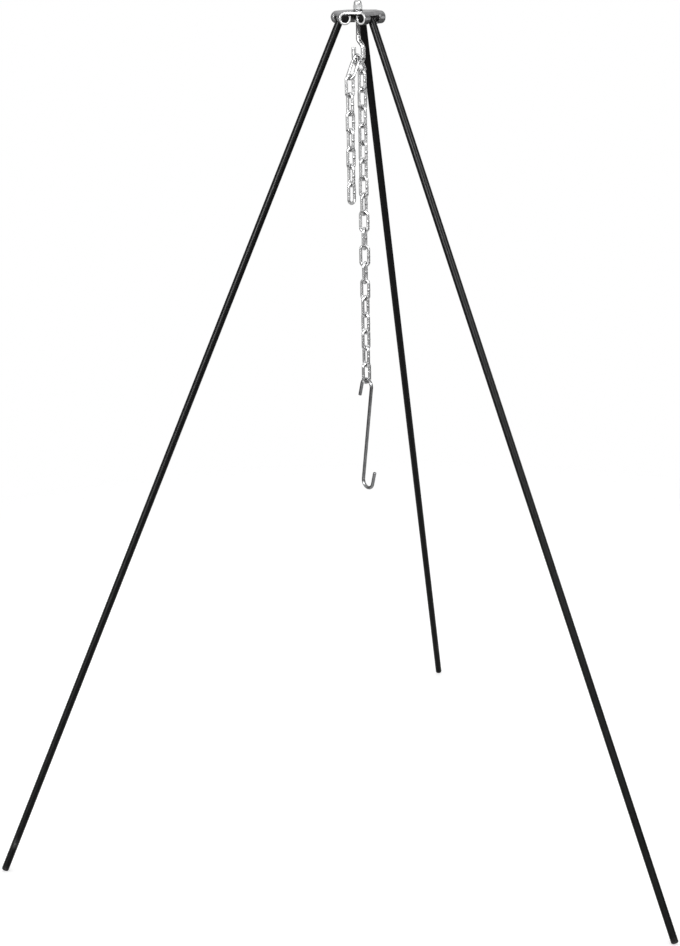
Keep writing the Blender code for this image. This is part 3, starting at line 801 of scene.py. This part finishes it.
def sHookPath():
    # tip, upper bowl, slanted shaft, lower bowl and tip, as (level, height) from the upper bowl's middle
    radius, spacing = sHook["bowlRadius"], sHook["spacing"]
    slant = math.asin(2 * radius / spacing)
    lean = slant + math.radians(sHook["flare"])
    upper = np.linspace(math.pi - lean, -slant, sHook["bowlSteps"])
    lower = np.linspace(math.pi - slant, math.tau - lean, sHook["bowlSteps"])
    reach = radius * math.cos(lean) + (sHook["tipHeight"] + radius * math.sin(lean)) * math.tan(lean)
    return np.concatenate((
        ((-reach, -sHook["tipHeight"]),),
        np.stack((radius * np.cos(upper), radius * np.sin(upper)), axis=1),
        np.stack((radius * np.cos(lower), radius * np.sin(lower) - spacing), axis=1),
        ((reach, sHook["tipHeight"] - spacing),),
    ))


def buildSHook():
    short = nodeAxes("s_hook")[3]
    low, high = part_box("s_hook")
    level = unit(np.cross(short, up))
    seat = np.array(joints["s_hook_swing"]["pos_m"])
    points = nodePoints("s_hook")
    # the tips reach furthest to the sides, and the upper one lies on the side where level is negative
    sideways = (points - seat) @ level
    tips = np.abs(sideways) > sHook["bowlRadius"] + sHook["wire"] / 2 + mm / 2
    if (sideways * (points[:, 2] - (low.z + high.z) / 2))[tips].sum() > 0:
        level = -level
    top = high.z - sHook["wire"] / 2 - sHook["bowlRadius"]
    path = sHookPath()
    path = np.array((seat[0], seat[1], top)) + path[:, :1] * level + path[:, 1:] * up
    stations = rodStations(along(path)[-1], sHook["tipRounding"], sHook["step"])
    radii = rodRadii(stations, sHook["wire"] / 2, sHook["tipRounding"])
    rings = ringsAlong(pointsAt(path, stations), radii, np.cross(level, up), sHook["sides"])
    piece = surface("s_hook_wire", rings, grime=0.0)
    dress(piece, materials["dark"], "s_hook", "dull_zinc", "s_hook")


# Camera, at the photograph's angle. The photograph is 680 by 946 pixels.

view = {
    "photoWidth": 680, "photoHeight": 946, "focalPixels": 1894.8,
    "place": (0.5851, -2.6179, 1.3306), "heading": 14.05, "pitch": -17.33, "roll": -1.12,
    "sensor": 36.0, "clip": (0.05, 50.0),
}


def buildCamera():
    heading, pitch, roll = (math.radians(view[key]) for key in ("heading", "pitch", "roll"))
    flat = math.cos(pitch)
    forward = np.array((-math.sin(heading) * flat, math.cos(heading) * flat, math.sin(pitch)))
    right = np.array((math.cos(heading), math.sin(heading), 0.0))
    above = np.cross(right, forward)
    turnedRight = math.cos(roll) * right + math.sin(roll) * above
    turnedUp = -math.sin(roll) * right + math.cos(roll) * above
    data = bpy.data.cameras.new("camera")
    data.sensor_width = view["sensor"]
    data.lens = data.sensor_width * view["focalPixels"] / max(view["photoWidth"], view["photoHeight"])
    data.clip_start, data.clip_end = view["clip"]
    camera = bpy.data.objects.new("camera", data)
    matrix = Matrix.Identity(4)
    for row in range(3):
        matrix[row][0], matrix[row][1] = turnedRight[row], turnedUp[row]
        matrix[row][2], matrix[row][3] = -forward[row], view["place"][row]
    camera.matrix_world = matrix
    bpy.context.scene.collection.objects.link(camera)
    bpy.context.scene.camera = camera
    return right, forward


viewRight, viewForward = buildCamera()
chainNodes = [node for node in frame["nodes"] if "_link" in node]
for node in sorted(chainNodes):
    buildLink(node, viewRight)
print("chain:", len(chainNodes), "links")
buildSHook()
print("S-hook")


# Floor, surroundings and lamps

studio = {
    "floorRadius": 1.7, "floorFade": 0.5, "floorColor": (0.52, 0.52, 0.52),
    "floorGlow": 0.62, "floorMirrored": 0.1, "floorSides": 96, "floorRoughness": 0.9, "floorGloss": 0.1,
    "light": 0.50,  # how much the surroundings light the object from all sides
    # what polished metal sees: dim walls under a pale ceiling, and bright places, each with how far left of
    # the camera and how high it lies in degrees, the cosines where it starts and is full, and its level
    "wall": 0.10, "ceiling": (0.10, 0.80, 0.80), "windowSill": (-0.27, -0.15),
    "window": (25, 0, -0.10, 0.50, 0.95),
    "bright": {"backdrop": (180, 0, 0.72, 0.93, 0.8), "leftBox": (33, 17, 0.972, 0.99, 20.0),
               "rightBox": (-41, 31, 0.972, 0.99, 13.0)},
    "lamps": {  # place, what it points at, width, height, power in watts
        "leftFront": ((-0.75, -2.05, 1.62), (-0.1, -0.2, 0.95), 0.35, 0.45, 11.0),
        "rightFront": ((1.35, -1.35, 1.95), (0.1, -0.2, 0.9), 0.35, 0.35, 5.5),
        "rightSide": ((2.0, 0.7, 0.95), (0.2, -0.2, 0.6), 0.4, 1.0, 4.5),
        "top": ((-0.3, 0.2, 3.3), (0.0, 0.0, 0.5), 1.5, 1.5, 36.0),
    },
}


def whitening(tree, straight, mirrored):
    # strength of a glow that the camera sees straight on, or else in metal and through glass
    rays = addNode(tree, "LightPath")
    either = addNode(tree, "Math", operation="MAXIMUM")
    shared = addNode(tree, "Math", operation="MULTIPLY")
    direct = addNode(tree, "Math", operation="MULTIPLY")
    total = addNode(tree, "Math", operation="MAXIMUM")
    shared.inputs[1].default_value = mirrored
    direct.inputs[1].default_value = straight
    tree.links.new(rays.outputs["Is Glossy Ray"], either.inputs[0])
    tree.links.new(rays.outputs["Is Transmission Ray"], either.inputs[1])
    tree.links.new(either.outputs[0], shared.inputs[0])
    tree.links.new(rays.outputs["Is Camera Ray"], direct.inputs[0])
    tree.links.new(shared.outputs[0], total.inputs[0])
    tree.links.new(direct.outputs[0], total.inputs[1])
    return total.outputs[0]


def buildFloor():
    # a flat disc that keeps the shadows and fades into the white round it
    turn = np.linspace(0, math.tau, studio["floorSides"], endpoint=False)
    rim = studio["floorRadius"] * np.stack((np.cos(turn), np.sin(turn), np.zeros_like(turn)), axis=1)
    mesh = bpy.data.meshes.new("floor")
    mesh.from_pydata(rim.tolist(), [], [list(range(len(rim)))])
    floor = bpy.data.objects.new("floor", mesh)
    bpy.context.scene.collection.objects.link(floor)
    material, tree, shader = newMaterial("paleFloor", studio["floorColor"], 0.0)
    links = tree.links
    shader.inputs["Base Color"].default_value = (*studio["floorColor"], 1.0)
    shader.inputs["Roughness"].default_value = studio["floorRoughness"]
    shader.inputs["Specular IOR Level"].default_value = studio["floorGloss"]
    shader.inputs["Emission Color"].default_value = (1.0, 1.0, 1.0, 1.0)
    glow = whitening(tree, studio["floorGlow"], studio["floorMirrored"])
    links.new(glow, shader.inputs["Emission Strength"])
    place = addNode(tree, "TexCoord")
    distance = addNode(tree, "VectorMath", operation="LENGTH")
    fade = addNode(tree, "MapRange", {"From Min": studio["floorRadius"] - studio["floorFade"],
                                      "From Max": studio["floorRadius"]}, interpolation_type="SMOOTHSTEP")
    clear = addNode(tree, "BsdfTransparent")
    mix = addNode(tree, "MixShader")
    links.new(place.outputs["Object"], distance.inputs[0])
    links.new(distance.outputs["Value"], fade.inputs["Value"])
    links.new(fade.outputs[0], mix.inputs[0])
    links.new(shader.outputs[0], mix.inputs[1])
    links.new(clear.outputs[0], mix.inputs[2])
    links.new(mix.outputs[0], tree.nodes["Material Output"].inputs["Surface"])
    mesh.materials.append(material)


def buildWorld():
    # even light on the object, white for the camera, and a quiet studio for whatever mirrors it
    world = bpy.data.worlds.new("studio")
    bpy.context.scene.world = world
    world.use_nodes = True
    tree = world.node_tree
    links = tree.links
    background = tree.nodes["Background"]
    rays = addNode(tree, "LightPath")
    place = addNode(tree, "TexCoord")

    def towards(direction, low, high, level):
        # level in a direction, fading to nothing away from it
        facing = addNode(tree, "VectorMath", operation="DOT_PRODUCT")
        facing.inputs[1].default_value = tuple(direction)
        ramp = addNode(tree, "MapRange", {"From Min": low, "From Max": high, "To Max": level},
                       interpolation_type="SMOOTHSTEP")
        links.new(place.outputs["Generated"], facing.inputs[0])
        links.new(facing.outputs["Value"], ramp.inputs["Value"])
        return ramp.outputs[0]

    def aimed(left, lift):
        # direction at an angle to the left of the camera and above the horizon
        left, lift = math.radians(left), math.radians(lift)
        level = unit(-viewForward * (1, 1, 0)) * math.cos(left) - viewRight * math.sin(left)
        return math.cos(lift) * level + math.sin(lift) * up

    def combined(operation, first, second):
        node = addNode(tree, "Math", operation=operation)
        links.new(first, node.inputs[0])
        links.new(second, node.inputs[1])
        return node.outputs[0]

    walls = addNode(tree, "Math", operation="ADD")
    walls.inputs[1].default_value = studio["wall"]
    links.new(towards(up, *studio["ceiling"]), walls.inputs[0])
    left, lift, *ramp = studio["window"]
    window = combined("MULTIPLY", towards(aimed(left, lift), *ramp), towards(up, *studio["windowSill"], 1.0))
    room = combined("MAXIMUM", walls.outputs[0], window)
    for left, lift, *ramp in studio["bright"].values():
        room = combined("MAXIMUM", room, towards(aimed(left, lift), *ramp))
    mirrored = addNode(tree, "Mix")
    mirrored.inputs[2].default_value = studio["light"]
    links.new(rays.outputs["Is Glossy Ray"], mirrored.inputs[0])
    links.new(room, mirrored.inputs[3])
    seen = addNode(tree, "Mix")
    seen.inputs[3].default_value = 1.0
    links.new(rays.outputs["Is Camera Ray"], seen.inputs[0])
    links.new(mirrored.outputs[0], seen.inputs[2])
    links.new(seen.outputs[0], background.inputs["Strength"])
    background.inputs["Color"].default_value = (1.0, 1.0, 1.0, 1.0)


def buildLamps():
    for name, (place, target, width, height, power) in studio["lamps"].items():
        data = bpy.data.lights.new(name, "AREA")
        data.shape = "RECTANGLE"
        data.size = width
        data.size_y = height
        data.energy = power
        lamp = bpy.data.objects.new(name, data)
        lamp.visible_camera = False
        lamp.visible_glossy = name != "top"  # a flat plate would mirror this one as plain white
        away = unit(np.array(place) - np.array(target))
        side = unit(np.cross(up, away))
        axes = np.stack((side, np.cross(away, side), away), axis=1)
        lamp.matrix_world = Matrix.Translation(place) @ Matrix(axes.tolist()).to_4x4()
        bpy.context.scene.collection.objects.link(lamp)


buildFloor()
buildWorld()
buildLamps()
bpy.context.scene.view_settings.view_transform = "Standard"
print("floor, surroundings and", len(studio["lamps"]), "lamps")
